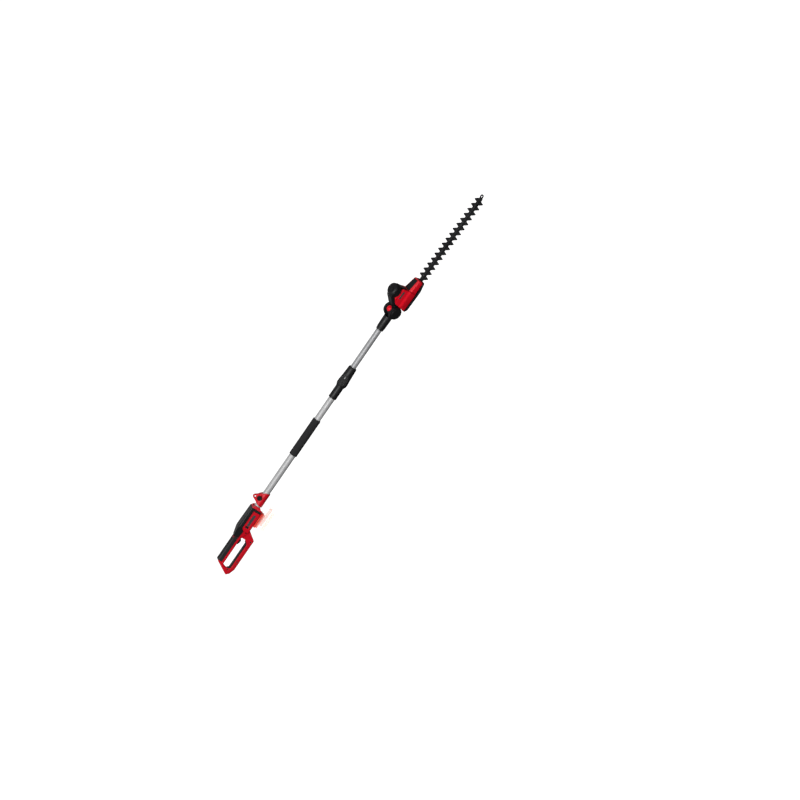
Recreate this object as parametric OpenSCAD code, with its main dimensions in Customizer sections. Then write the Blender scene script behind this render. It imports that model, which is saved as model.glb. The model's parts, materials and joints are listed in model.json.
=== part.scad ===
// Cordless pole hedge trimmer: D-handle with battery, two-part telescopic pole, and a tilting cutter head.
// Millimetres, +Z up. X runs along the pole towards the blade tip and Y is the left side of the tool.
// The origin is the centre of the strap eye. Parts are laid out around the pole's axis, eye_height below it.

/* [Pole] */
// Outer diameter of the lower tube
lower_tube_d = 30; // [28:0.5:32]
// Outer diameter of the upper tube
upper_tube_d = 27; // [25:0.5:27.4]
// Wall thickness of the lower tube
lower_tube_wall = 1.2; // [1:0.1:1.3]
// Wall thickness of the upper tube
upper_tube_wall = 1.5; // [1:0.1:2]
// Bare length of upper tube that shows in front of the clamp
tube_shown = 210; // [20:1:600]
// Start of the foam grip
foam_start = 251; // [200:1:300]
// Length of the foam grip
foam_length = 197; // [120:1:220]
// Diameter of the foam grip
foam_d = 38; // [36:1:44]

/* [Clamp] */
// Start of the clamp's fixed sleeve
sleeve_start = 568; // [540:1:600]
// Length of the fixed sleeve
sleeve_length = 68; // [50:1:80]
// Length of the twist nut
nut_length = 101; // [80:1:120]
// Largest diameter of the twist nut
nut_d = 50; // [44:1:54]

/* [Handle] */
// Height of the strap eye above the pole's axis
eye_height = 35; // [32:0.5:38]
// Width of the front body of the handle
body_width = 60; // [56:1:66]
// Width of the rear grip over its soft cover
grip_width = 34; // [32:1:38]
// Width of the lower guard bar
guard_width = 30; // [26:1:32]
// Depth that the trigger stands into the hand loop
trigger_depth = 9; // [8:1:14]

/* [Battery] */
// Width of the battery pack
battery_width = 74; // [70:1:80]
// Lowest point of the battery below the pole's axis
battery_drop = 81; // [78:1:90]

/* [Head] */
// Turn of the head about the pole
head_twist = 30; // [0:1:60]
// Nose-down set of the head at its straight notch
head_droop = 2.4; // [0:0.1:5]
// Width of the head's side shells
head_width = 68; // [66:1:72]
// Width of the tray under the head
tray_width = 76; // [74:1:90]
// Diameter of the motor dome
dome_d = 60; // [58:1:61]
// Height of the motor dome above the hinge
dome_height = 89; // [80:1:90]

/* [Blade] */
// Number of teeth along each edge
tooth_count = 16; // [10:1:16]
// Distance between teeth
tooth_pitch = 28; // [26:0.25:28]
// Tip to tip width across the teeth
blade_width = 63; // [50:1:64]
// Width of the solid spine
spine_width = 22; // [17:0.5:22]
// Thickness of each blade
blade_thick = 2.5; // [2:0.1:2.5]

/* [Hidden] */
$fn = 48;

red = "#c8161d";
rail_red = "#e8502f";
black = "#1c1c1e";
foam_black = "#2a2a2c";
silver = "#c9cbce";
steel = "#8f9296";
battery_tint = "#f3c7bf";

fit = 0.05;               // radial clearance of a running fit
clear = 0.35;             // clearance where the upper tube slides through
cut = 1;                  // extra reach of a cutting shape past a face

// Pole
lower_r = lower_tube_d / 2;
lower_bore = lower_r - lower_tube_wall;
upper_r = upper_tube_d / 2;
upper_bore = upper_r - upper_tube_wall;
sleeve_end = sleeve_start + sleeve_length;
nut_start = sleeve_end + 0.5;
nut_end = nut_start + nut_length;
lower_tube_start = -140;
lower_tube_end = sleeve_end - 13;
neck_start = nut_end + tube_shown;
upper_tube_start = 210;
upper_tube_end = neck_start + 28;
collet_start = sleeve_end + 28;
collet_end = collet_start + 38;

// Handle, as heights above and lengths along the pole's axis
body_front = -31;
cover_front = -46;
body_top = 28;
body_bottom = -35;
cover_thick = 2.5;
grip_top = 18;
grip_bottom = -18.5;
grip_split = -6;
pad_thick = 6;
grip_rear = -335;
grip_front = -190;
guard_bottom = -77;
trigger_pivot = [-200, -13];
lock_x = -208;
dock_bottom = -50;

// Battery
cell_d = 18.4;
cell_count = 5;
channel_half = 19.6;

// Head, in its own frame at the hinge: x forwards, y across, z up
hinge_x = neck_start + 106;
cheek_r = 30;
cheek_inner = 17;
cheek_outer = 31;
pin_r = 5;
button_x = 3;
motor_x = 88;
dome_low = 52;
saddle_half = 18.4;
saddle_front = 118;
gear_x = motor_x + 25.4;
nose_rear = 110;
nose_front = 182;
tray_low = -38.4;
tray_floor = 2.5;
tray_top = -29.5;
bar_thick = 2.5;
bar_low = -29;
bar_top = bar_low + bar_thick;
upper_blade_top = bar_low - 0.1;
lower_blade_top = upper_blade_top - blade_thick - 0.1;
bolt_r = 3;
bolt_places = [210, 310, 410, 510, 605];
stroke = 7;
crank_pin_r = 6.5;
yoke_bore = stroke + crank_pin_r + stroke + 0.8;
first_tooth = 207;
blade_end = first_tooth + (tooth_count - 1) * tooth_pitch + 12;
eyelet_x = first_tooth + (tooth_count - 1) * tooth_pitch + 27;
gear_teeth = 42;
pinion_teeth = 8;
gear_module = 1;

// ---- Frames and basic shapes ----

module from_pole() translate([0, 0, -eye_height]) children();

module in_neck() from_pole() rotate([head_twist, 0, 0]) children();

module in_head() in_neck() translate([hinge_x, 0, 0]) rotate([0, head_droop, 0]) children();

// Round bar along X, Y or Z between two stations
module bar_x(x0, x1, r) translate([x0, 0, 0]) rotate([0, 90, 0]) cylinder(h = x1 - x0, r = r);

module bar_y(y0, y1, r) translate([0, y0, 0]) rotate([-90, 0, 0]) cylinder(h = y1 - y0, r = r);

module bar_z(z0, z1, r) translate([0, 0, z0]) cylinder(h = z1 - z0, r = r);

// Outline in X and Z, thick from y0 to y1
module plate_y(y0, y1) translate([0, y1, 0]) rotate([90, 0, 0]) linear_extrude(y1 - y0) children();

// Outline in Y and Z, long from x0 to x1
module plate_x(x0, x1) translate([x0, 0, 0]) rotate([90, 0, 90]) linear_extrude(x1 - x0) children();

// Outline in X and Y, high from z0 to z1
module plate_z(z0, z1) translate([0, 0, z0]) linear_extrude(z1 - z0) children();

module block(low, high) translate(low) cube(high - low);

module rounded_rect(low, high, r) {
    translate([low[0] + r, low[1]]) square([high[0] - low[0] - 2 * r, high[1] - low[1]]);
    translate([low[0], low[1] + r]) square([high[0] - low[0], high[1] - low[1] - 2 * r]);
    for (x = [low[0] + r, high[0] - r], y = [low[1] + r, high[1] - r])
        translate([x, y]) circle(r);
}

module softened(r) offset(r) offset(-r) children();

module left_half() intersection() {
    children();
    block([-500, 0, -200], [500, 200, 200]);
}

module right_half() intersection() {
    children();
    block([-500, -200, -200], [500, 0, 200]);
}

// Closed tube swept round the points of a helix about Z
function helix_ring(a, r, wire, rise, sides) = [for (j = [0 : sides - 1])
    let (b = 360 * j / sides)
    [(r + wire * cos(b)) * cos(a), (r + wire * cos(b)) * sin(a), rise * a / 360 + wire * sin(b)]];

module coil(r, wire, rise, turns, sides = 6, steps = 12) {
    rings = turns * steps;
    points = [for (i = [0 : rings]) each helix_ring(360 * i / steps, r, wire, rise, sides)];
    sides_faces = [for (i = [0 : rings - 1], j = [0 : sides - 1])
        [i * sides + j, (i + 1) * sides + j,
         (i + 1) * sides + (j + 1) % sides, i * sides + (j + 1) % sides]];
    first_face = [for (j = [0 : sides - 1]) j];
    last_face = [for (j = [sides - 1 : -1 : 0]) rings * sides + j];
    polyhedron(points, concat(sides_faces, [first_face, last_face]), convexity = 8);
}

// Spur gear outline with straight-sided teeth
module gear_outline(teeth, modul, thinning) {
    pitch_r = teeth * modul / 2;
    step = 360 / teeth;
    root_half = step * (0.34 - thinning);
    tip_half = step * (0.13 - thinning / 2);
    polygon([for (i = [0 : teeth - 1], k = [[-root_half, -1.25], [-tip_half, 0.85], [tip_half, 0.85],
            [root_half, -1.25]])
        let (a = i * step + k[0], r = pitch_r + k[1] * modul)
        [r * cos(a), r * sin(a)]]);
}

// ---- Handle ----

module body_side() polygon([[-202, grip_top], [-154, body_top], [-60, 25.5], [-44, 24.5], [-34, 19],
    [body_front, 14], [body_front, -15], [-49, body_bottom], [-150, body_bottom], [-202, grip_bottom]]);

module body_plan() polygon([[-202, -16.5], [-150, -body_width / 2], [-44, -body_width / 2],
    [body_front, 5 - body_width / 2], [body_front, body_width / 2 - 5], [-44, body_width / 2],
    [-150, body_width / 2], [-202, 16.5]]);

// Front body of the handle, drawn in by an inset
module body_solid(inset) intersection() {
    plate_y(-body_width / 2, body_width / 2) offset(delta = -inset) body_side();
    plate_z(body_bottom, body_top) offset(delta = -inset) body_plan();
    plate_x(-210, 0) rounded_rect([inset - body_width / 2, body_bottom + inset],
        [body_width / 2 - inset, body_top - inset], 9);
}

module loop_outline() softened(5)
    polygon([[-150, grip_top - cover_thick], [grip_rear + 5, grip_top - cover_thick], [-342, 8], [-377, -55],
        [-364, -68], [-336, guard_bottom], [-178, guard_bottom], [-147, body_bottom], [-140, 0]]);

module loop_hole() softened(8)
    polygon([[-341, grip_bottom], [-193, grip_bottom], [-193, -38], [-208, -57.5], [-342, -57.5],
        [-349, -40]]);

module loop_solid() {
    plate_y(-guard_width / 2, guard_width / 2) difference() {
        offset(delta = -2) loop_outline();
        offset(delta = 2) loop_hole();
    }
    plate_y(2 - guard_width / 2, guard_width / 2 - 2) difference() {
        loop_outline();
        loop_hole();
    }
}

module handle_cavity() {
    block([-150, -24, -29], [body_front - 5, 24, 19]);
    block([-325, -10.5, -14.5], [-150, 10.5, 12.6]);
}

module handle_openings() {
    // trigger slot
    block([trigger_pivot[0] - 34, -7, grip_bottom - cut], [trigger_pivot[0] + 5, 7, -14]);
    // lock button and its flange
    in_lock() bar_y(-20, 3, 5.3);
    in_lock() bar_y(-5, 3, 6.4);
    // tube mouth
    bar_x(body_front - 10, body_front + cut, lower_r + 0.2);
    // contacts down to the dock
    block([-112, -12, body_bottom - cut], [-60, 12, -28]);
    // screw holes with sunk heads
    for (p = handle_screw_places)
        translate([p[0], 0, p[1]]) {
            bar_y(-14, 12, 1.8);
            bar_y(-40, -11, 3.6);
        }
}

handle_screw_places = [[-352, -50], [-300, -67], [-190, -67], [-163, -22]];

// Lock button's axis: into the rounded upper right edge of the grip
module in_lock() translate([lock_x, -6, 7]) rotate([-45, 0, 0]) children();

module handle_solid() difference() {
    union() {
        body_solid(cover_thick);
        difference() {
            loop_solid();
            grip_seat();
        }
    }
    handle_cavity();
    handle_openings();
    lens_shape(-40, -20, 0.1);
}

module lens_shape(y0, y1, grow) plate_y(y0, y1)
    rounded_rect([-142 - grow, -18 - grow], [-132.5 + grow, -1 + grow], 4.6 + grow);

module indicator_lens() color(black) from_pole() lens_shape(-28.2, -24.2, 0);

// Soft strip on the inner side of the guard bar
module loop_pad() color(black) from_pole() intersection() {
    plate_y(3 - guard_width / 2, guard_width / 2 - 3) difference() {
        loop_hole();
        translate([0, pad_thick]) loop_hole();
    }
    block([-400, -40, -80], [-100, 40, -46]);
}

// What the soft cover takes away from the plain loop
module grip_seat() plate_x(grip_rear, grip_front) difference() {
    translate([-20, grip_split]) square([40, 40]);
    grip_core();
}

module grip_core() rounded_rect([cover_thick - grip_width / 2, -30],
    [grip_width / 2 - cover_thick, grip_top - cover_thick], 9);

module handle_shell_left() color(red) from_pole() left_half() handle_solid();

module handle_shell_right() color(red) from_pole() right_half() handle_solid();

// Soft cover over the top and the upper sides of the rear grip
module grip_cover() color(black) from_pole() difference() {
    intersection() {
        plate_x(grip_rear, grip_front - 12.2)
            rounded_rect([-grip_width / 2, -40], [grip_width / 2, grip_top], 11);
        block([grip_rear, -40, grip_split], [grip_front, 40, 40]);
    }
    plate_x(grip_rear - cut, grip_front) grip_core();
    in_lock() bar_y(-20, 0, 5.4);
}

// Black saddle over the upper body, with two arms down its front corners
module top_cover() color(black) from_pole() difference() {
    intersection() {
        body_solid(0);
        plate_y(-40, 40) polygon([[-202, 40], [cover_front, 40], [cover_front, -25], [-58, -25], [-58, 7],
            [-150, 7], [-164, -7], [-202, -7]]);
    }
    body_solid(cover_thick - 0.01);
    block([-210, -guard_width / 2 - 0.01, -40],
        [-130, guard_width / 2 + 0.01, grip_top - cover_thick + 0.01]);
    bar_x(-70, 0, lower_r + 0.2);
}

module handle_screws() color(steel) from_pole() for (p = handle_screw_places)
    translate([p[0], 0, p[1]]) difference() {
        union() {
            bar_y(-11.1, 11.5, 1.7);
            bar_y(-13.4, -11.1, 3.3);
        }
        bar_y(-14, -12.2, 1.6);
    }

module trigger() color(black) from_pole() difference() {
    plate_y(-6.5, 6.5) softened(1.5)
        polygon([[-197, -9], [-197, -17], [-203, grip_bottom - trigger_depth + 3],
            [-209, grip_bottom - trigger_depth], [-220, grip_bottom - trigger_depth + 1],
            [-231, grip_bottom - 3], [-232, -10]]);
    translate([trigger_pivot[0], 0, trigger_pivot[1]]) bar_y(-8, 8, 1.5 + fit);
}

module trigger_pin() color(steel) from_pole()
    translate([trigger_pivot[0], 0, trigger_pivot[1]]) bar_y(-10.4, 10.4, 1.5);

module trigger_spring() color(steel) from_pole()
    translate([-224, 0, -9]) coil(2.6, 0.4, 2, 5);

module lock_button() color(red) from_pole() in_lock() {
    bar_y(-13, -4.6, 5);
    bar_y(-4.6, -2.6, 6);
}

module switch_module() color(black) from_pole() {
    block([-275, -9, 2], [-216, 9, 11]);
    for (x = [-281, -278])
        block([x, -6, 4], [x + 1, 6, 9]);
    block([-281, -5, 5.5], [-275, 5, 7.5]);
}

module control_board() color("#1d5c3a") from_pole() {
    block([-145, -22, -26], [-66, 22, -24.4]);
    for (x = [-138, -126, -114])
        translate([x, 12, 0]) bar_z(-24.4, -20, 4);
    block([-100, -18, -24.4], [-76, -4, -20]);
}

// Clamp block that holds the pole inside the body
module pole_socket() color(black) from_pole() difference() {
    block([-122, -20, -19], [-70, 20, 18.5]);
    bar_x(-130, -60, lower_r + 0.02);
    for (y = [-17.4, 17.4])
        translate([-96, y, 0]) bar_z(-30, 30, 1.6);
}

module battery_dock() color(rail_red) from_pole() difference() {
    union() {
        block([-122, -24, -40], [-49, 24, body_bottom + cover_thick - 0.02]);
        block([-120, -14, dock_bottom], [-51, 14, -40]);
        block([-120, -19, dock_bottom], [-51, 19, dock_bottom + 4]);
    }
    block([-106, -9, dock_bottom - cut], [-70, 9, -42]);
    block([-104, -8, -43], [-72, 8, -20]);
}

module dock_contacts() color("#c9a24a") from_pole() for (y = [-6, -2, 2, 6])
    block([-100, y - 0.5, -48], [-76, y + 0.5, -31]);

// ---- Battery ----

module battery_outline(inset) rounded_rect([-125 + inset, inset - battery_width / 2],
    [-5 - inset, battery_width / 2 - inset], 9);

module battery_tray() color(battery_tint) from_pole() difference() {
    plate_z(-battery_drop, -60) battery_outline(0);
    plate_z(-battery_drop + 2.4, -59) battery_outline(2.4);
}

module battery_lid() color(battery_tint) from_pole() difference() {
    union() {
        plate_z(-60, -40.5) battery_outline(1.5);
        block([-36, -24, -41], [-8, 24, -23]);
    }
    // keyed channel that runs on the dock
    block([-130, -channel_half, dock_bottom - 0.4], [-47, channel_half, dock_bottom + 4.4]);
    block([-130, -14.4, dock_bottom], [-47, 14.4, -39]);
    // latch pocket in the front
    block([-20, -13.4, -46.4], [0, 13.4, -28.6]);
    // space over the cells
    plate_z(-61, -58) battery_outline(4);
}

module battery_cells() color("#3c6fae") from_pole() for (i = [0 : cell_count - 1])
    translate([-109 + i * 22, 0, -69]) bar_y(-32.5, 32.5, cell_d / 2);

module battery_latch() color("#e79a8c") from_pole() {
    block([-14, -13, -46], [-6.5, 13, -29]);
    for (z = [-42, -38, -34])
        translate([-6.5, 0, z]) bar_y(-10, 10, 1.2);
}

// ---- Lower pole ----

module tube(x0, x1, r, bore) difference() {
    bar_x(x0, x1, r);
    bar_x(x0 - cut, x1 + cut, bore);
}

module lower_tube() color(silver) from_pole() tube(lower_tube_start, lower_tube_end, lower_r, lower_bore);

// Strap bracket: a collar on the pole that rises to a narrow eye
module bracket_solid() difference() {
    intersection() {
        union() {
            plate_y(-30, 30) polygon([[-29, -19], [43, -19], [39, 4], [9.5, 39], [-9.5, 39], [-27, 4]]);
            translate([0, 0, eye_height]) bar_y(-30, 30, 10.5);
        }
        union() {
            bar_x(-40, 60, 19);
            plate_x(-40, 60) polygon([[-16, 0], [-13, 22], [-6, 30], [-6, 50], [6, 50], [6, 30], [13, 22],
                [16, 0]]);
        }
    }
    bar_x(-40, 60, lower_r + 0.02);
    translate([0, 0, eye_height]) bar_y(-20, 20, 4.5);
    translate([5, 0, bracket_bolt_z]) bar_y(-30, 30, 2.6);
    translate([5, 0, bracket_bolt_z]) bar_y(-30, -13.5, 12.4);
}

bracket_bolt_z = 18.6;

module strap_bracket_left() color(red) from_pole() left_half() bracket_solid();

module strap_bracket_right() color(red) from_pole() right_half() bracket_solid();

// Hand screw that clamps the bracket
module bracket_knob() color(black) from_pole() translate([5, 0, bracket_bolt_z]) {
    bar_y(-15, 12, 2.5);
    bar_y(-18, -13.55, 7);
    bar_y(-25, -17, 10.4);
    for (i = [0 : 5])
        rotate([0, 60 * i, 0]) translate([8.6, 0, 0]) bar_y(-24.4, -17.6, 3);
}

module foam_grip() color(foam_black) from_pole() difference() {
    union() {
        bar_x(foam_start, foam_start + foam_length, foam_d / 2);
        bar_x(foam_start + foam_length - 12, foam_start + foam_length - 6, foam_d / 2 + 0.6);
    }
    bar_x(foam_start - cut, foam_start + foam_length + cut, lower_r + 0.02);
}

// ---- Telescopic clamp ----

module clamp_sleeve() color(black) from_pole() difference() {
    union() {
        bar_x(sleeve_start, sleeve_end, 18.8);
        bar_x(sleeve_start + 8, sleeve_start + 11, 19.4);
        bar_x(sleeve_end - 6, sleeve_end, 20.2);
        bar_x(sleeve_end, sleeve_end + 26, 16.5);
    }
    bar_x(sleeve_start - cut, lower_tube_end + 0.2, lower_r + 0.02);
    bar_x(lower_tube_end, sleeve_end + 30, upper_r + clear);
}

// Split ring that the nut squeezes on the upper tube
module clamp_collet() color("#d8d8d2") from_pole() difference() {
    bar_x(collet_start, collet_end, 16.3);
    bar_x(collet_start - cut, collet_end + cut, upper_r + fit);
    block([collet_start - cut, -1, 0], [collet_end + cut, 1, 30]);
}

module clamp_nut() color(black) from_pole() rotate([0, 90, 0])
    rotate_extrude() polygon([[16.9, nut_start], [21.5, nut_start], [23.8, nut_start + 3],
        [nut_d / 2, nut_start + 12], [nut_d / 2, nut_start + 20], [nut_d / 2 - 2.4, nut_start + 45],
        [20.2, nut_end - 12], [19.4, nut_end - 4], [17.5, nut_end], [upper_r + clear, nut_end],
        [upper_r + clear, collet_end + 2], [16.9, collet_end + 2]]);

// ---- Sliding upper pole ----

module coiled_lead() color(black) from_pole() bar_x(-130, -22, 9);

module slider_bush() color(black) from_pole() difference() {
    union() {
        bar_x(upper_tube_start - 16, upper_tube_start - 0.1, lower_bore - fit);
        bar_x(upper_tube_start - 0.1, upper_tube_start + 34, upper_bore - fit);
    }
    bar_x(upper_tube_start - 20, upper_tube_start + 40, 5);
}

module upper_tube() color(silver) from_pole() tube(upper_tube_start, upper_tube_end, upper_r, upper_bore);

// ---- Neck and hinge ----

module neck_fork() color(black) in_neck() difference() {
    union() {
        rotate([0, 90, 0]) rotate_extrude() polygon([[0, neck_start], [16.5, neck_start],
            [18, neck_start + 3], [18.3, neck_start + 12], [19.4, neck_start + 14],
            [20.5, neck_start + 72], [20.5, neck_start + 78], [0, neck_start + 78]]);
        hull() {
            bar_x(neck_start + 73, neck_start + 78, 20.5);
            translate([hinge_x, 0, 0]) bar_y(-cheek_outer, cheek_outer, cheek_r);
        }
    }
    bar_x(neck_start - cut, upper_tube_end + 0.2, upper_r + 0.02);
    bar_x(upper_tube_end, hinge_x, 6);
    // gap for the head's knuckle
    block([hinge_x - 34, -cheek_inner, -40], [hinge_x + 40, cheek_inner, 40]);
    // pin bore with a recess for the cap at each end
    translate([hinge_x, 0, 0]) bar_y(-40, 40, pin_r + fit);
    for (side = [-1, 1])
        translate([hinge_x, side * (cheek_outer - 2 + 20), 0]) bar_y(-20, 20, 26.1);
}

module hinge_pin() color(steel) in_neck()
    translate([hinge_x, 0, 0]) bar_y(2.5 - cheek_outer, cheek_outer - 2.5, pin_r);

module hinge_cap() {
    bar_y(cheek_outer - 2, cheek_outer + 1.5, 26);
    bar_y(cheek_outer + 1.5, cheek_outer + 3, 22.5);
}

module hinge_cap_left() color(black) in_neck() translate([hinge_x, 0, 0]) hinge_cap();

module hinge_cap_right() color(black) in_neck() translate([hinge_x, 0, 0]) rotate(180) hinge_cap();

// ---- Cutter head ----

module hinge_knuckle() color(black) in_head() difference() {
    union() {
        bar_y(0.4 - cheek_inner, cheek_inner - 0.4, 23);
        block([0, 0.4 - cheek_inner, -20], [34, cheek_inner - 0.4, 18]);
        knuckle_flange(0);
        translate([button_x, 0, 0]) bar_z(8, 25, 16.4);
    }
    bar_y(-40, 40, pin_r + fit);
    bar_x(-40, 60, 4.5);
    translate([button_x, 0, 0]) bar_z(15, 30, 14.4);
}

// Domed push button on the knuckle, which frees the tilt lock
module release_button() color(red) in_head() translate([button_x, 0, 0]) difference() {
    union() {
        bar_z(18.4, 26, 14);
        intersection() {
            translate([0, 0, 17.8]) sphere(16.2);
            bar_z(25, 40, 14);
        }
    }
    bar_z(10, 26.5, 8);
}

module release_spring() color(steel) in_head() translate([button_x, 0, 15.6]) coil(6, 0.5, 2.2, 3);

// Flange that the side shells clamp
module knuckle_flange(grow) plate_y(-25 - grow, 25 + grow) offset(delta = grow)
    polygon([[27.5, -24], [32, 0], [37, 22], [42, 22], [42, -24]]);

// Side outline of the motor housing
module head_side(low) softened(2)
    polygon([[25.5, low], [25.5, tray_top], [32, 2], [37.5, 31], [60, 54], [86, 52.5], [115, 45],
        [119.5, 8], [119.5, low]]);

module head_plan(inset) softened(4)
    polygon([for (side = [1, -1], p = side > 0
        ? [[20, 26], [46, head_width / 2], [119.5, head_width / 2 - 1]]
        : [[119.5, head_width / 2 - 1], [46, head_width / 2], [20, 26]])
        [p[0], side * (p[1] - inset)]]);

// Cross-section of the housing: upright lower sides, a sloping shoulder, and a lean inwards above it
module head_section(inset) polygon([for (side = [1, -1], p = side > 0
        ? [[3, tray_top], [0, -5], [0, 2], [6, 12], [6.5, 30], [8, 60], [10, 76]]
        : [[10, 76], [8, 60], [6.5, 30], [6, 12], [0, 2], [0, -5], [3, tray_top]])
        [side * (head_width / 2 - p[0] - inset), p[1]]]);

// Cross-section of the nose: flat top, sloping shoulders and upright sides
module nose_section(top, top_half, side_half, inset) polygon([for (side = [1, -1], p = side > 0
        ? [[side_half - inset, tray_top - inset], [side_half - inset, top - side_half + top_half - inset / 2],
           [top_half - inset / 2, top - inset]]
        : [[top_half - inset / 2, top - inset], [side_half - inset, top - side_half + top_half - inset / 2],
           [side_half - inset, tray_top - inset]])
        [side * p[0], p[1]]]);

module nose_solid(inset) hull() {
    plate_x(nose_rear, nose_rear + 1) nose_section(10, 19, 29, inset);
    plate_x(nose_front - 5 - inset, nose_front - 4 - inset) nose_section(-3.5, 14.5, 24, inset);
    plate_x(nose_front - 1 - inset, nose_front - inset) nose_section(-8, 13, 21, inset);
}

// Black strip along the top of the nose
module nose_strip(grow) hull() {
    plate_x(nose_rear + 9.6 - grow, nose_rear + 10.5) nose_strip_end(8, 17.8 + grow, grow);
    plate_x(nose_front - 6, nose_front - 4.6 + grow) nose_strip_end(-3.6, 13.8 + grow, grow);
}

module nose_strip_end(top, half, grow) translate([-half, top - 2.6 - grow]) square([2 * half, 3 + 2 * grow]);

module head_solid(inset) {
    intersection() {
        plate_y(-50, 50) offset(delta = -inset) head_side(tray_top - 2 * inset);
        plate_z(tray_top - inset, 80) head_plan(inset);
        plate_x(0, 200) head_section(inset);
    }
    nose_solid(inset);
}

// Gap between the side shells, which the motor cover and the knuckle close
module head_cavity() {
    block([0, -saddle_half - 0.1, -20], [saddle_front + 0.1, saddle_half + 0.1, 100]);
    translate([motor_x, 0, 0]) bar_z(dome_low - fit, 120, dome_d / 2 + fit);
    translate([motor_x, 0, 0]) bar_z(30, 120, 24);
    nose_strip(0.1);
    // way out for the bar and the blades
    block([nose_front - 20, -spine_width / 2 - 1, tray_top - cut],
        [nose_front + 5, spine_width / 2 + 1, bar_top + 0.5]);
    block([10, 0.2 - cheek_inner, -20.2], [36, cheek_inner - 0.2, 24]);
    knuckle_flange(0.1);
}

module head_shell() difference() {
    head_solid(0);
    difference() {
        head_solid(2.5);
        for (p = head_screw_places)
            translate([p[0], 0, p[1]]) bar_y(-40, 40, 3.8);
    }
    head_cavity();
    for (p = head_screw_places)
        translate([p[0], 0, p[1]]) {
            bar_y(-14, 12, 1.8);
            bar_y(-40, -11, 3);
        }
}

head_screw_places = [[47, -14], [56, 44], [150, -9.5], [170, -13.5]];

module head_shell_left() color(red) in_head() left_half() head_shell();

module head_shell_right() color(red) in_head() right_half() head_shell();

// Motor dome with the saddle that runs down the rear of the head
module motor_cover() color(black) in_head() difference() {
    union() {
        translate([motor_x, 0, 0]) rotate_extrude() motor_dome_outline(0);
        intersection() {
            plate_y(-saddle_half, saddle_half) difference() {
                saddle_side();
                offset(delta = -2.5) saddle_side();
            }
            block([20, -30, 10.4], [saddle_front + 1, 30, 100]);
        }
        // side walls that close the fairing behind the dome
        for (y = [-saddle_half, saddle_half - 2])
            plate_y(y, y + 2) intersection() {
                saddle_side();
                translate([20, 25]) square([46, 60]);
            }
    }
    translate([motor_x, 0, 0]) rotate_extrude() motor_dome_outline(2.2);
    // way through for the top of the motor
    translate([motor_x, 0, 0]) bar_z(dome_low - 10, dome_low + 4, 24);
    block([10, -30, -24.2], [38, 30, 22.3]);
}

// Side outline of the fairing that falls from the dome to the hinge
module saddle_side() softened(4)
    polygon([[34, -20], [22.5, 27], [26, 38], [55, 75], [motor_x, 80], [saddle_front, 62],
        [saddle_front, -20]]);

module motor_dome_outline(inset) intersection() {
    union() {
        square([dome_d / 2 - inset, dome_height - 14]);
        translate([0, dome_height - 28]) square([dome_d / 2 - 14, 28 - inset]);
        translate([dome_d / 2 - 14, dome_height - 14]) circle(14 - inset);
    }
    translate([0, inset > 0 ? dome_low + 2.5 : dome_low]) square([100, 100]);
}

module vent_cap() color(black) in_head() translate([motor_x, 0, 0]) difference() {
    bar_z(dome_height, dome_height + 1.6, 15);
    for (y = [-8 : 4 : 8])
        block([-20, y - 0.8, dome_height + 0.6], [20, y + 0.8, dome_height + 3]);
}

module nose_cover() color(black) in_head() nose_strip(0);

module tray_outline() softened(9) polygon([[25, -29], [42, -tray_width / 2], [140, -tray_width / 2],
    [nose_front + 2, -26], [nose_front + 2, 26], [140, tray_width / 2], [42, tray_width / 2],
    [25, 29]]);

// Tray that closes the head from below and guards the rear of the blades
module head_tray() color(black) in_head() difference() {
    plate_z(tray_low, tray_top - 0.02) tray_outline();
    plate_z(tray_low + tray_floor, 0) offset(delta = -3.5) tray_outline();
    // the blades leave through the front rim
    block([nose_front - 10, -spine_width / 2 - 1, tray_low + tray_floor],
        [nose_front + 10, spine_width / 2 + 1, 0]);
    plate_z(tray_low - cut, 0) rounded_rect([86, -25], [144, 25], 8);
    for (p = plate_screw_places)
        translate([p[0], p[1], 0]) bar_z(-60, 0, 1.45);
}

module gear_case() color(silver) in_head() difference() {
    union() {
        translate([gear_x, 0, 0]) bar_z(bar_top, -2.5, 24.4);
        block([60, -20, -5.5], [gear_x, 20, -2.5]);
        block([gear_x, -12, bar_top], [nose_front - 6, 12, bar_top + 4]);
    }
    translate([gear_x, 0, 0]) bar_z(bar_top - cut, -6.5, 22.3);
    translate([gear_x, 0, 0]) bar_z(-30, 10, 7.6);
    translate([motor_x, 0, 0]) bar_z(-40, 10, 7);
}

module motor_can() color(steel) in_head() translate([motor_x, 0, 0]) difference() {
    union() {
        bar_z(-1.4, 58, 22);
        bar_z(58, 66, 8);
        for (y = [-14, 14])
            translate([0, y, 0]) bar_z(58, 61, 3);
    }
    bar_z(-20, 70, 2.6);
}

module motor_pinion() color(steel) in_head() translate([motor_x, 0, 0]) {
    bar_z(-17, 69, 2.5);
    plate_z(-16, -9) rotate([0, 0, 180 / pinion_teeth]) gear_outline(pinion_teeth, gear_module, 0.02);
}

// Gear with two opposed crank discs, one for each blade
module drive_gear() color(steel) in_head() translate([gear_x, 0, 0]) {
    plate_z(-15.5, -9.5) rotate([0, 0, 180]) gear_outline(gear_teeth, gear_module, 0.02);
    bar_z(-9.5, -2.7, 4);
    bar_z(lower_blade_top - blade_thick, -15.5, 4);
    translate([0, -stroke, 0]) bar_z(upper_blade_top - blade_thick, upper_blade_top, crank_pin_r);
    translate([0, stroke, 0]) bar_z(lower_blade_top - blade_thick, lower_blade_top, crank_pin_r);
}

module gear_bearing() color(silver) in_head() translate([gear_x, 0, 0]) difference() {
    bar_z(-6.5, -2.5, 7.55);
    bar_z(-20, 10, 4 + fit);
}

// Service cover over the opening in the tray
module bottom_plate() color(black) in_head() difference() {
    plate_z(tray_low - 1.8, tray_low - 0.02) rounded_rect([78, -30], [152, 30], 9);
    for (p = plate_screw_places)
        translate([p[0], p[1], 0]) bar_z(-60, 0, 1.5);
}

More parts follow.
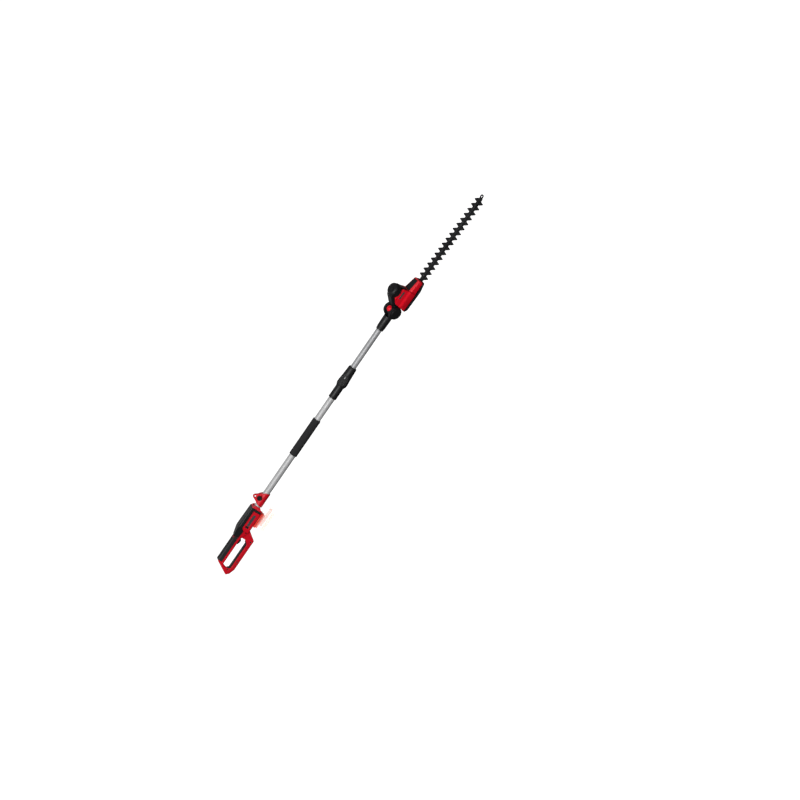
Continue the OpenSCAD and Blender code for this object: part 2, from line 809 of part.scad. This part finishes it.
plate_screw_places = [[81.5, -20], [81.5, 20], [148.5, -20], [148.5, 20]];

// ---- Blades ----

module slot(x0, x1, r, h) {
    translate([x0, 0, 0]) cylinder(h = h, r = r);
    translate([x1, 0, 0]) cylinder(h = h, r = r);
    translate([x0, -r, 0]) cube([x1 - x0, 2 * r, h]);
}

// Leaning tooth: steep towards the head on one edge of the blade, towards the tip on the other
module tooth() polygon([[-6.8, spine_width / 2 - 1], [-4, blade_width / 2 - 1.5], [-3, blade_width / 2],
    [0.4, blade_width / 2], [1.8, blade_width / 2 - 1.5], [15.5, spine_width / 2 - 1]]);

// Toothed blade with a round yoke at its rear and slots for the bolts
module blade(top) translate([0, 0, top - blade_thick]) difference() {
    union() {
        translate([gear_x, 0, 0]) cylinder(h = blade_thick, r = yoke_bore + 4);
        translate([gear_x + yoke_bore, -spine_width / 2, 0])
            cube([blade_end - gear_x - yoke_bore, spine_width, blade_thick]);
        translate([blade_end, 0, 0]) cylinder(h = blade_thick, r = spine_width / 2);
        for (i = [0 : tooth_count - 1], turn = [0, 180])
            translate([first_tooth + i * tooth_pitch, 0, 0]) rotate(turn)
                linear_extrude(blade_thick) tooth();
    }
    translate([gear_x, 0, 0]) bar_z(-cut, blade_thick + cut, yoke_bore);
    for (x = bolt_places)
        translate([0, 0, -cut]) slot(x - stroke, x + stroke, bolt_r + 0.4, blade_thick + 2 * cut);
}

module upper_blade() color(black) in_head() blade(upper_blade_top);

module lower_blade() color("#2b2c2e") in_head() blade(lower_blade_top);

// Stiff bar over the blades, with a hanging eyelet at its tip
module blade_bar() color(black) in_head() plate_z(bar_low, bar_top) difference() {
    union() {
        translate([gear_x + 27, -6.5]) square([eyelet_x - gear_x - 27, 13]);
        translate([eyelet_x, 0]) circle(10.5);
    }
    translate([eyelet_x, 0]) circle(4.5);
    for (x = bolt_places)
        translate([x, 0]) circle(bolt_r + 0.05);
}

module blade_bolts() color(steel) in_head() for (x = bolt_places) translate([x, 0, 0]) {
    bar_z(lower_blade_top - blade_thick - 0.3, bar_top, bolt_r);
    bar_z(bar_top, bar_top + 2.4, 5);
    bar_z(lower_blade_top - blade_thick - 2.6, lower_blade_top - blade_thick - 0.3, 5.4);
}

module head_screws() color(steel) in_head() {
    for (p = head_screw_places)
        translate([p[0], 0, p[1]]) {
            bar_y(-11.1, 11.5, 1.7);
            bar_y(-13.4, -11.1, 2.8);
        }
    for (p = plate_screw_places)
        translate([p[0], p[1], 0]) {
            bar_z(tray_low - 1.82, tray_low + 2, 1.4);
            bar_z(tray_low - 3.2, tray_low - 1.82, 2.6);
        }
}

handle_shell_left();
handle_shell_right();
grip_cover();
loop_pad();
top_cover();
indicator_lens();
handle_screws();
trigger();
trigger_pin();
trigger_spring();
lock_button();
switch_module();
control_board();
pole_socket();
battery_dock();
dock_contacts();
battery_tray();
battery_lid();
battery_cells();
battery_latch();
lower_tube();
strap_bracket_left();
strap_bracket_right();
bracket_knob();
foam_grip();
clamp_sleeve();
clamp_collet();
clamp_nut();
coiled_lead();
slider_bush();
upper_tube();
neck_fork();
hinge_pin();
hinge_cap_left();
hinge_cap_right();
hinge_knuckle();
release_button();
release_spring();
head_shell_left();
head_shell_right();
motor_cover();
vent_cap();
nose_cover();
head_tray();
gear_case();
motor_can();
motor_pinion();
drive_gear();
gear_bearing();
bottom_plate();
blade_bar();
blade_bolts();
upper_blade();
lower_blade();
head_screws();
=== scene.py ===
"""Studio scene of a cordless pole hedge trimmer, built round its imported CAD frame."""
import bpy
import bmesh
import json
import math
from mathutils import Matrix, Vector


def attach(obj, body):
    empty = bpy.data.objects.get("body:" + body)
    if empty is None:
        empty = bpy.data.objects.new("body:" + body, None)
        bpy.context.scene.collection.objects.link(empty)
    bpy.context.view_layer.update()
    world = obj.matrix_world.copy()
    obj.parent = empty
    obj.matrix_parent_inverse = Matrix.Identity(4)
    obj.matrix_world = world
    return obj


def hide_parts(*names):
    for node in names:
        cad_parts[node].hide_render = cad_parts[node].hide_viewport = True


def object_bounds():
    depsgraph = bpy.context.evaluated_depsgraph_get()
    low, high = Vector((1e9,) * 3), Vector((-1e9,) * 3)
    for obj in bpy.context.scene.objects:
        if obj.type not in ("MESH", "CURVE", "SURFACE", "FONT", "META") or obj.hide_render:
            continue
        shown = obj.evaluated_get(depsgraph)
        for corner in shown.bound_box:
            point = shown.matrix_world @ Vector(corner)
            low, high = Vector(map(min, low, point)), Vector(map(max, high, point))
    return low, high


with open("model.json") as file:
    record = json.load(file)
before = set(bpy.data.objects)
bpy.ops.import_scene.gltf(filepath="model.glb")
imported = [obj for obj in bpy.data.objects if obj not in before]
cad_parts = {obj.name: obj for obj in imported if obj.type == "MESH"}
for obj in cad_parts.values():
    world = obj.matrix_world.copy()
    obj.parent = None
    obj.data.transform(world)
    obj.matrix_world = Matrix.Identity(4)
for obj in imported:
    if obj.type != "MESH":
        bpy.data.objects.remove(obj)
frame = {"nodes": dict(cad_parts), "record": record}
cad_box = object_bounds()
cad = frame["nodes"]
joints = {j["name"]: j for j in frame["record"]["behaviour"]["joints"]}
MM = 0.001


# ---- Frames: the pole's axis, the neck and the cutter head, in millimetres ----

def frame_matrix(origin, x_axis, y_axis, z_axis):
    m = Matrix((x_axis, y_axis, z_axis)).transposed().to_4x4()
    return Matrix.Translation(origin) @ m @ Matrix.Scale(MM, 4)


hinge = Vector(joints["head_tilt"]["pos_m"])
across = Vector(joints["head_tilt"]["axis"])
head_up = Vector(joints["gear_spin"]["axis"])
head_out = Vector(joints["upper_stroke"]["axis"])
along = Vector((1, 0, 0))
POLE = frame_matrix(Vector((0, 0, hinge.z)), along, Vector((0, 1, 0)), Vector((0, 0, 1)))
HEAD = frame_matrix(hinge, head_out, across, head_up)


# ---- Materials ----

class Nodes:
    """Short way to add and join the shader nodes of one material."""

    def __init__(self, name):
        self.material = bpy.data.materials.new(name)
        self.material.use_nodes = True
        self.tree = self.material.node_tree
        self.shader = self.tree.nodes["Principled BSDF"]
        self.coords = self.add("ShaderNodeTexCoord").outputs["Object"]

    def add(self, kind, inputs=None, **settings):
        node = self.tree.nodes.new(kind)
        for key, value in settings.items():
            setattr(node, key, value)
        for key, value in (inputs or {}).items():
            self.set(node.inputs[key], value)
        return node

    def set(self, socket, value):
        if isinstance(value, bpy.types.NodeSocket):
            self.tree.links.new(value, socket)
        else:
            socket.default_value = value

    def noise(self, scale, stretch=(1, 1, 1), detail=3.0):
        mapping = self.add("ShaderNodeMapping", {"Vector": self.coords, "Scale": stretch})
        return self.add("ShaderNodeTexNoise", {"Vector": mapping.outputs[0], "Scale": scale,
                                               "Detail": detail}).outputs["Fac"]

    def spread(self, value, low, high, source=(0.3, 0.7)):
        return self.add("ShaderNodeMapRange", {"Value": value, "To Min": low, "To Max": high,
                                               "From Min": source[0], "From Max": source[1]}).outputs[0]

    def times(self, a, b):
        return self.add("ShaderNodeMath", {0: a, 1: b}, operation="MULTIPLY").outputs[0]

    def mix(self, factor, a, b):
        node = self.add("ShaderNodeMix", data_type="RGBA")
        self.set(node.inputs[0], factor)
        self.set(node.inputs[6], a)
        self.set(node.inputs[7], b)
        return node.outputs[2]


def rgba(colour):
    return (*colour, 1.0)


def surface(name, colour, dark, rough, grain, bump, metallic=0.0, specular=0.5, stretch=(1, 1, 1),
            wear=None, alpha=1.0, painted_glow=0.0):
    """Moulded, coated or drawn surface with patchy colour, uneven roughness, fine grain and scratches.

    wear is the colour of its worn edges, alpha makes it see-through, and painted_glow is painted light: an
    emission of its own colour that lifts its shading so the shell stays pale.
    """
    n = Nodes(name)
    tint = n.mix(n.spread(n.noise(14, detail=2.0), 0, 1), rgba(dark), rgba(colour))
    scratches = n.spread(n.noise(260, (0.06, 1, 1), 5.0), 0, 1, (0.62, 0.7))
    if wear:
        edge = n.spread(n.add("ShaderNodeNewGeometry").outputs["Pointiness"], 0, 0.5, (0.55, 0.64))
        scuff = n.times(edge, n.spread(n.noise(150), 0, 1, (0.45, 0.65)))
        tint = n.mix(scuff, tint, rgba(wear))
    n.set(n.shader.inputs["Base Color"], tint)
    rough_value = n.add("ShaderNodeMath", {0: n.spread(n.noise(45), *rough), 1: n.times(scratches, 0.06)},
                        operation="ADD").outputs[0]
    n.set(n.shader.inputs["Roughness"], rough_value)
    n.shader.inputs["Metallic"].default_value = metallic
    n.shader.inputs["Specular IOR Level"].default_value = specular
    n.shader.inputs["Alpha"].default_value = alpha
    # painted light: the surface glows in its own colour
    n.shader.inputs["Emission Color"].default_value = rgba(colour)
    n.shader.inputs["Emission Strength"].default_value = painted_glow
    n.set(n.shader.inputs["Normal"],
          n.add("ShaderNodeBump", {"Height": n.noise(grain, stretch), "Strength": bump,
                                   "Distance": 0.0004}).outputs[0])
    return n.material


def foam_surface(name):
    """Closed-cell foam: open pores over a soft, uneven black."""
    n = Nodes(name)
    cells = n.add("ShaderNodeTexVoronoi", {"Vector": n.coords, "Scale": 900.0}).outputs["Distance"]
    n.set(n.shader.inputs["Base Color"],
          n.mix(n.spread(cells, 0, 1, (0.1, 0.6)),
                rgba((0.003, 0.003, 0.003)), rgba((0.011, 0.011, 0.012))))
    n.set(n.shader.inputs["Roughness"], n.spread(n.noise(90), 0.82, 0.98))
    n.shader.inputs["Specular IOR Level"].default_value = 0.2
    height = n.add("ShaderNodeMath", {0: cells, 1: n.noise(160)}, operation="ADD").outputs[0]
    n.set(n.shader.inputs["Normal"],
          n.add("ShaderNodeBump", {"Height": height, "Strength": 0.9, "Distance": 0.0006}).outputs[0])
    return n.material


MATERIALS = {
    "red_plastic": surface("red_plastic", (0.47, 0.002, 0.010), (0.36, 0.001, 0.007), (0.26, 0.38),
                           1500, 0.10, specular=0.18, wear=(0.58, 0.04, 0.04)),
    "rail_plastic": surface("rail_plastic", (0.50, 0.035, 0.020), (0.42, 0.026, 0.015), (0.28, 0.42),
                            1500, 0.12, specular=0.3),
    "black_plastic": surface("black_plastic", (0.0055, 0.0055, 0.0062), (0.0032, 0.0032, 0.0036),
                             (0.36, 0.5), 1700, 0.30, specular=0.16, wear=(0.03, 0.03, 0.032)),
    "soft_grip": surface("soft_grip", (0.0065, 0.0065, 0.007), (0.004, 0.004, 0.0045), (0.46, 0.62),
                         1200, 0.4, specular=0.2),
    "foam": foam_surface("foam"),
    "pole_aluminium": surface("pole_aluminium", (0.275, 0.276, 0.278), (0.24, 0.241, 0.243),
                              (0.46, 0.56), 900, 0.05, metallic=0.22, specular=0.3,
                              stretch=(0.02, 1, 1)),
    "gear_metal": surface("gear_metal", (0.60, 0.61, 0.63), (0.50, 0.51, 0.53), (0.4, 0.6), 500, 0.4,
                          metallic=1.0),
    "steel": surface("steel", (0.50, 0.51, 0.53), (0.42, 0.43, 0.45), (0.25, 0.4), 900, 0.1,
                     metallic=1.0),
    "blade_steel": surface("blade_steel", (0.009, 0.0092, 0.010), (0.005, 0.0052, 0.006), (0.4, 0.52),
                           500, 0.15, metallic=0.2, specular=0.15, stretch=(0.1, 1, 1),
                           wear=(0.05, 0.05, 0.053)),
    # the pack's shell and cells glow faintly in their own colour: painted light that lifts their dark inner
    # shading
    "battery_shell": surface("battery_shell", (0.97, 0.70, 0.62), (0.94, 0.64, 0.56), (0.3, 0.42),
                             1500, 0.1, specular=0.05, alpha=0.10, painted_glow=0.6),
    "cell_wrap": surface("cell_wrap", (0.95, 0.72, 0.66), (0.92, 0.68, 0.62), (0.3, 0.4), 600, 0.1,
                         alpha=0.04, painted_glow=0.6),
    "contact_brass": surface("contact_brass", (0.75, 0.60, 0.30), (0.68, 0.52, 0.24), (0.25, 0.35),
                             700, 0.1, metallic=1.0),
    "board": surface("board", (0.02, 0.14, 0.06), (0.015, 0.11, 0.05), (0.3, 0.45), 400, 0.2),
    "collet_plastic": surface("collet_plastic", (0.74, 0.73, 0.69), (0.68, 0.67, 0.63), (0.4, 0.5),
                              900, 0.15),
    "lead_rubber": surface("lead_rubber", (0.02, 0.02, 0.02), (0.014, 0.014, 0.014), (0.5, 0.65),
                           900, 0.2),
}
# the label on the pack is printed on a film that hides more than the shell does, and like the shell it has a
# painted glow, an emission that lifts its shading
LABEL_FILM = surface("label_film", (0.97, 0.55, 0.47), (0.94, 0.50, 0.42), (0.35, 0.45), 1200, 0.08,
                     alpha=0.35, painted_glow=0.3)
PRINT = surface("printed_mark", (0.22, 0.22, 0.225), (0.17, 0.17, 0.175), (0.4, 0.5), 1200, 0.1)
BADGE = surface("badge_film", (0.035, 0.032, 0.034), (0.022, 0.02, 0.022), (0.2, 0.32), 1400, 0.05)
UPPER_TUBE = surface("upper_tube_aluminium", (0.215, 0.217, 0.222), (0.185, 0.187, 0.191), (0.44, 0.54),
                     900, 0.05, metallic=0.3, specular=0.3, stretch=(0.02, 1, 1))
# painted shade: the handle and bracket are the same red plastic as the head, and this darker copy of it
# stands in for their shade
SHADED_HANDLE_RED = surface("handle_red_painted_shade", (0.36, 0.0015, 0.008), (0.27, 0.001, 0.006), (0.28, 0.40), 1500, 0.10,
                     specular=0.16, wear=(0.5, 0.035, 0.035))
DARK_RED = surface("dark_red", (0.10, 0.003, 0.006), (0.07, 0.002, 0.004), (0.3, 0.42), 1500, 0.10)
BLACK_STEEL = surface("black_steel", (0.03, 0.03, 0.031), (0.018, 0.018, 0.019), (0.35, 0.5), 900, 0.1,
                      metallic=0.7)

slot_of = {part["node"]: part["material_slot"] for part in frame["record"]["subparts"]}
for node, obj in cad.items():
    obj.data.materials.clear()
    obj.data.materials.append(MATERIALS[slot_of[node]])
FINISHES = {"lock_button": DARK_RED, "handle_screws": BLACK_STEEL, "head_screws": BLACK_STEEL,
            "handle_shell_left": SHADED_HANDLE_RED, "handle_shell_right": SHADED_HANDLE_RED,
            "strap_bracket_left": SHADED_HANDLE_RED, "strap_bracket_right": SHADED_HANDLE_RED, "upper_tube": UPPER_TUBE}
for node, finish in FINISHES.items():
    cad[node].data.materials[0] = finish


# ---- Softened CAD nodes ----

def clean_faces(obj):
    """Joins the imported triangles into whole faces, so that only real edges are rounded."""
    weld = obj.modifiers.new("weld", "WELD")
    weld.merge_threshold = 0.01 * MM
    flat = obj.modifiers.new("flat", "DECIMATE")
    flat.decimate_type = "DISSOLVE"
    flat.angle_limit = math.radians(1)


def bevelled(obj, width, segments=2, angle=30):
    bevel = obj.modifiers.new("bevel", "BEVEL")
    bevel.width = width * MM
    bevel.segments = segments
    bevel.limit_method = "ANGLE"
    bevel.angle_limit = math.radians(angle)
    obj.modifiers.new("normals", "WEIGHTED_NORMAL").keep_sharp = True
    for face in obj.data.polygons:
        face.use_smooth = True


def moulded(obj, voxel=0.8, passes=8, keep=0.12):
    """Melts a solid's edges into the soft radii of a moulding."""
    remesh = obj.modifiers.new("remesh", "REMESH")
    remesh.mode = "VOXEL"
    remesh.voxel_size = voxel * MM
    remesh.use_smooth_shade = True
    smooth = obj.modifiers.new("smooth", "SMOOTH")
    smooth.factor = 0.5
    smooth.iterations = passes
    thin = obj.modifiers.new("thin", "DECIMATE")
    thin.ratio = keep


SOFT_NODES = {"handle_shell_left": 10, "handle_shell_right": 10, "top_cover": 6, "grip_cover": 6,
              "strap_bracket_left": 3, "strap_bracket_right": 3, "neck_fork": 6,
              "head_shell_left": 8, "head_shell_right": 8, "motor_cover": 8, "nose_cover": 4, "head_tray": 6}
# loop_pad is a black pad on the loop's inner face, a dark sheet that stands in for the shade inside the loop:
# painted shade
BEVEL_NODES = {"hinge_cap_left": 0.9, "hinge_cap_right": 0.9, "release_button": 0.6, "lock_button": 0.5,
               "trigger": 1.2, "battery_dock": 0.8, "indicator_lens": 0.4, "bracket_knob": 0.7,
               "clamp_sleeve": 0.7, "vent_cap": 0.3, "bottom_plate": 0.5, "upper_blade": 0.5,
               "lower_blade": 0.5, "blade_bar": 0.5, "loop_pad": 0.4, "battery_tray": 1.2, "battery_lid": 1.0,
               "battery_latch": 0.6, "hinge_knuckle": 0.8, "handle_screws": 0.3, "head_screws": 0.25}
for node, passes in SOFT_NODES.items():
    moulded(cad[node], passes=passes)
for node, width in BEVEL_NODES.items():
    clean_faces(cad[node])
    bevelled(cad[node], width)


# ---- Mesh building, in millimetres ----

def piece(name, bm, place, body, material, replaced=(), bevel=0.0, segments=2):
    """Makes a built mesh into an object that rides on a body."""
    bmesh.ops.recalc_face_normals(bm, faces=bm.faces)
    bm.transform(place)
    mesh = bpy.data.meshes.new(name)
    bm.to_mesh(mesh)
    bm.free()
    obj = bpy.data.objects.new(name, mesh)
    bpy.context.scene.collection.objects.link(obj)
    if isinstance(material, str):
        material = MATERIALS[material]
    mesh.materials.append(material)
    for face in mesh.polygons:
        face.use_smooth = True
    if bevel:
        bevelled(obj, bevel, segments)
    else:
        mesh.set_sharp_from_angle(angle=math.radians(40))
    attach(obj, body)
    if replaced:
        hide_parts(*replaced)
    return obj


def rounded(points, radius, steps=5):
    """Outline with each corner turned into an arc."""
    result = []
    for i, corner in enumerate(points):
        corner = Vector(corner)
        before = (Vector(points[i - 1]) - corner)
        after = (Vector(points[(i + 1) % len(points)]) - corner)
        reach = min(radius, before.length / 2.1, after.length / 2.1)
        start, end = corner + before.normalized() * reach, corner + after.normalized() * reach
        for k in range(steps + 1):
            t = k / steps
            result.append(start * (1 - t) ** 2 + corner * 2 * t * (1 - t) + end * t ** 2)
    return result


def skin(bm, rings, closed=False):
    """Joins rings of points into one surface, capped at both ends unless it closes on itself."""
    made = [[bm.verts.new(p) for p in ring] for ring in rings]
    pairs = list(zip(made, made[1:]))
    if closed:
        pairs.append((made[-1], made[0]))
    for a, b in pairs:
        for i in range(len(a)):
            j = (i + 1) % len(a)
            bm.faces.new((a[i], a[j], b[j], b[i]))
    if not closed:
        bm.faces.new(made[0])
        bm.faces.new(made[-1])


def turned(axis, a, b, c):
    """Point with a and b in the outline's plane, at c along the axis it faces."""
    return {"x": (c, a, b), "y": (a, c, b), "z": (a, b, c)}[axis]


def prism(bm, axis, outline, low, high):
    skin(bm, [[turned(axis, p[0], p[1], c) for p in outline] for c in (low, high)])


def lathe(bm, section, place=Matrix(), sides=64, swell=None):
    """Turns a closed section of (station, radius) points about X."""
    rings = []
    for k in range(sides):
        angle = math.tau * k / sides
        ring = []
        for x, r in section:
            r = swell(angle, x, r) if swell else r
            ring.append(place @ Vector((x, r * math.cos(angle), r * math.sin(angle))))
        rings.append(ring)
    skin(bm, rings, closed=True)


def rib(bm, path, out, side, half_width, sunk, proud):
    """Raised line that follows a path on a surface, tapered at both ends."""
    foot, crest = side * half_width, side * half_width * 0.6
    rings = []
    for i, (point, normal) in enumerate(zip(path, out)):
        lift = proud * min(1, min(i, len(path) - 1 - i) + 0.3)
        low, high = point - normal * sunk, point + normal * lift
        rings.append([low + foot, high + crest, high - crest, low - foot])
    skin(bm, rings)


def ease(t):
    t = max(0.0, min(1.0, t))
    return t * t * (3 - 2 * t)


# ---- Foam grip ----

def foam_swell(angle, x, r):
    if r < 17:
        return r
    slow = math.sin(x * 0.061 + 1.3 * math.sin(angle)) + math.sin(x * 0.143 + 2 * angle)
    return r - 0.14 + 0.07 * slow


FOAM = (251.0, 448.0)
bm = bmesh.new()
stations = [FOAM[0] + 3 + i * (FOAM[1] - FOAM[0] - 6) / 110 for i in range(111)]
outer = [(x, 19 + 0.55 * ease(1 - abs(x - FOAM[1] + 9) / 3.2)) for x in stations]
lathe(bm, [(FOAM[0], 15.1), (FOAM[0], 17.2), (FOAM[0] + 0.9, 18.5)] + outer
      + [(FOAM[1] - 0.9, 18.5), (FOAM[1], 17.2), (FOAM[1], 15.1)], swell=foam_swell)
foam = piece("foam_sleeve", bm, POLE, "handle", "foam", ["foam_grip"])


# ---- Twist nut with flutes ----

NUT = (636.5, 737.5)


def nut_flutes(angle, x, r):
    if r < 17.5:
        return r
    depth = 1.6 * ease((x - 640) / 8) * ease((705 - x) / 30)
    return r - depth * (0.5 + 0.5 * math.cos(18 * angle)) ** 3


bm = bmesh.new()
NUT_OUTER = [(NUT[0], 21.5), (637.3, 22.8), (639.5, 23.8), (648.5, 25), (656.5, 25), (669, 23.7),
             (681.5, 22.6), (703, 21.3), (725.5, 20.2), (730, 19.9), (733.5, 19.4), (736.4, 18.5),
             (NUT[1], 17.5)]
fine = [NUT_OUTER[0]]
for (x0, r0), (x1, r1) in zip(NUT_OUTER, NUT_OUTER[1:]):
    steps = max(1, round((x1 - x0) / 4))
    fine += [(x0 + (x1 - x0) * k / steps, r0 + (r1 - r0) * k / steps) for k in range(1, steps + 1)]
lathe(bm, [(NUT[0], 17.0)] + fine + [(NUT[1], 13.9), (704, 13.9), (704, 17.0)],
      sides=216, swell=nut_flutes)
piece("fluted_nut", bm, POLE, "clamp_nut", "black_plastic", ["clamp_nut"])

# raised ring marks on the sleeve and the nut
bm = bmesh.new()
for x, r in ((572, 18.8), (601, 18.8), (606, 18.8), (611, 18.8)):
    lathe(bm, [(x, r - 0.4), (x + 0.4, r + 0.5), (x + 1.6, r + 0.5), (x + 2, r - 0.4)])
piece("sleeve_rings", bm, POLE, "handle", "black_plastic")
bm = bmesh.new()
mark = Matrix.Rotation(math.radians(-22), 4, "X")
prism(bm, "y", rounded([(676, -1.4), (684, -1.4), (684, 1.4), (676, 1.4)], 1.3), -23.3, -21)
bm.transform(mark)
piece("nut_mark", bm, POLE, "clamp_nut", PRINT)


# ---- Bolts of the blade bar ----

tip_hole = next(m for m in frame["record"]["mounts"] if m["name"] == "tip_hole")
BAR_THICK = 2.5
BLADES_THICK = 5.2
BAR_TOP = (HEAD.inverted() @ Vector(tip_hole["pos_m"])).z + BAR_THICK / 2
BLADE_UNDERSIDE = BAR_TOP - BAR_THICK - BLADES_THICK
bm = bmesh.new()
stand = Matrix(((0, 0, 1, 0), (0, 1, 0, 0), (1, 0, 0, 0), (0, 0, 0, 1)))
for x in (210, 310, 410, 510, 605):
    at = Matrix.Translation((x, 0, 0)) @ stand
    lathe(bm, [(BLADE_UNDERSIDE - 0.3, 0.2), (BLADE_UNDERSIDE - 0.3, 2.95), (BAR_TOP, 2.95), (BAR_TOP, 5),
               (BAR_TOP + 0.9, 5), (BAR_TOP + 1.8, 4.2), (BAR_TOP + 2.3, 2.8), (BAR_TOP + 2.3, 1.9),
               (BAR_TOP + 0.8, 1.7), (BAR_TOP + 0.8, 0.2)], at, 36)
    hexagon = [(x + 5.4 * math.cos(math.tau * k / 6), 5.4 * math.sin(math.tau * k / 6)) for k in range(6)]
    prism(bm, "z", hexagon, BLADE_UNDERSIDE - 2.6, BLADE_UNDERSIDE - 0.3)
piece("bar_bolts", bm, HEAD, "head", BLACK_STEEL, ["blade_bolts"], bevel=0.3)

# stiffening beads pressed into the bar between the bolts
bm = bmesh.new()
for x0, x1 in ((222, 298), (322, 398), (422, 498), (522, 593)):
    path = [Vector((x0 + (x1 - x0) * k / 12, 0, BAR_TOP)) for k in range(13)]
    rib(bm, path, [Vector((0, 0, 1))] * 13, Vector((0, 1, 0)), 2.2, 0.3, 0.9)
piece("bar_beads", bm, HEAD, "head", "blade_steel")


# ---- Blank badges and ribs on the mouldings ----

def badge(place, size, radius, thick=0.6):
    """Thin raised plate with nothing printed on it, in the XZ plane of its place."""
    w, h = size[0] / 2, size[1] / 2
    mesh = bmesh.new()
    prism(mesh, "y", rounded([(-w, -h), (w, -h), (w, h), (-w, h)], radius), -thick, 0.6)
    mesh.transform(place)
    return mesh


for side, turn in (("right", 0), ("left", math.pi)):
    # on the flat flank of the handle's body
    place = Matrix.Rotation(turn, 4, "Z")
    centre = -101 if not turn else 101
    bm = badge(place @ Matrix.Translation((centre, -27.6, -9)), (58, 13), 3)
    piece("handle_badge_" + side, bm, POLE, "handle", BADGE, bevel=0.25)
    # on the leaning flank of the head, over the shoulder
    lean = Matrix.Rotation(math.radians(-3), 4, "X")
    centre = 86 if not turn else -86
    bm = badge(place @ Matrix.Translation((centre, -27.3, 34)) @ lean, (38, 9), 2.5)
    piece("head_badge_" + side, bm, HEAD, "head", BADGE, bevel=0.25)

# cooling ribs round the shoulder of the motor dome
DOME_X, DOME_R, DOME_FILLET, DOME_BEND = 88, 30, 14, 75
bm = bmesh.new()
for k in range(40):
    angle = math.tau * k / 40
    radial = Vector((math.cos(angle), math.sin(angle), 0))
    side = Vector((-math.sin(angle), math.cos(angle), 0))
    path, out = [], []
    for z in (62, 66, 70, 73):
        path.append(Vector((DOME_X, 0, z)) + radial * DOME_R)
        out.append(radial)
    bend_centre = Vector((DOME_X, 0, DOME_BEND)) + radial * (DOME_R - DOME_FILLET)
    for lean in (8, 16, 24, 32):
        bend = math.radians(lean)
        normal = radial * math.cos(bend) + Vector((0, 0, 1)) * math.sin(bend)
        path.append(bend_centre + normal * DOME_FILLET)
        out.append(normal)
    rib(bm, path, out, side, 1.1, 0.5, 0.7)
piece("dome_ribs", bm, HEAD, "head", "black_plastic")

# low ribs across the top of the rear grip
bm = bmesh.new()
for k in range(16):
    x = -322 + 7.2 * k
    path, out = [], []
    for i in range(15):
        bend = math.radians(-84 + 12 * i)
        normal = Vector((0, math.sin(bend), math.cos(bend)))
        centre = Vector((x, 5.6 * math.sin(bend), 6.9))
        path.append(centre + normal * 10.9)
        out.append(normal)
    rib(bm, path, out, Vector((1, 0, 0)), 1.3, 0.6, 0.35)
piece("grip_ribs", bm, POLE, "handle", "soft_grip")


# ---- Battery details ----

bm = bmesh.new()
for side in (-1, 1):
    prism(bm, "y", rounded([(-112, -78.5), (-18, -78.5), (-18, -64), (-112, -64)], 3),
          *sorted((side * 37.25, side * 36.6)))
piece("battery_label", bm, POLE, "battery", LABEL_FILM)


# ---- Studio ----

FIELD = 3.6
DISTANCE = 100.0
AZIMUTH = math.radians(11)
ELEVATION = math.radians(14)
ROLL = math.radians(58.05)

FLOOR_SIZE = 300.0
# room under the tool for the blade at the limits of the head's tilt
FLOOR_DROP = 0.8
bpy.ops.mesh.primitive_plane_add(size=FLOOR_SIZE, location=(0, 0, cad_box[0][2] - FLOOR_DROP))
floor = bpy.context.object
floor.name = "studio_floor"
paper = Nodes("floor_paper")
paper.set(paper.shader.inputs["Base Color"],
          paper.mix(paper.spread(paper.noise(0.6), 0, 1), (0.93, 0.93, 0.93, 1), (0.95, 0.95, 0.95, 1)))
paper.shader.inputs["Roughness"].default_value = 0.9
paper.shader.inputs["Emission Color"].default_value = (1, 1, 1, 1)
paper.shader.inputs["Emission Strength"].default_value = 0.6
floor.data.materials.append(paper.material)
# the paper is lit from below, and does not throw that light back on the tool
floor.visible_diffuse = False
floor.visible_glossy = False

world = bpy.data.worlds.new("studio")
world.use_nodes = True
sky = world.node_tree
direction = sky.nodes.new("ShaderNodeTexCoord").outputs["Generated"]
split = sky.nodes.new("ShaderNodeSeparateXYZ")
fade = sky.nodes.new("ShaderNodeMapRange")
sky.links.new(direction, split.inputs[0])
sky.links.new(split.outputs["Z"], fade.inputs["Value"])
for key, value in {"From Min": -0.35, "From Max": 0.35, "To Min": 0.12, "To Max": 0.50}.items():
    fade.inputs[key].default_value = value
sky.links.new(fade.outputs[0], sky.nodes["Background"].inputs["Strength"])
sky.nodes["Background"].inputs["Color"].default_value = (1, 1, 1, 1)
bpy.context.scene.world = world
bpy.context.scene.view_settings.view_transform = "Standard"

right = Vector((math.cos(AZIMUTH), math.sin(AZIMUTH), 0))
up = Vector((-math.sin(ELEVATION) * math.sin(AZIMUTH), math.sin(ELEVATION) * math.cos(AZIMUTH),
             math.cos(ELEVATION)))
back = right.cross(up)
turned_right = right * math.cos(ROLL) - up * math.sin(ROLL)
turned_up = right * math.sin(ROLL) + up * math.cos(ROLL)
target = Vector((0, 0, hinge.z)) + turned_right * 0.6225 + turned_up * 0.4498
camera_data = bpy.data.cameras.new("camera")
camera_data.lens = camera_data.sensor_width * DISTANCE / FIELD
camera_data.clip_end = 1000
camera = bpy.data.objects.new("camera", camera_data)
bpy.context.scene.collection.objects.link(camera)
camera.matrix_world = Matrix.Translation(target + back * DISTANCE) @ \
    Matrix((turned_right, turned_up, back)).transposed().to_4x4()
bpy.context.scene.camera = camera


def area_light(name, place, size, power):
    data = bpy.data.lights.new(name, "AREA")
    data.shape = "DISK"
    data.size = size
    data.energy = power
    lamp = bpy.data.objects.new(name, data)
    lamp.location = place
    lamp.rotation_euler = (target - Vector(place)).to_track_quat("-Z", "Y").to_euler()
    bpy.context.scene.collection.objects.link(lamp)


area_light("key", target + Vector((-0.5, -2.8, 1.9)), 2.2, 150)
area_light("fill", target + Vector((2.0, -3.6, 0.3)), 2.5, 50)
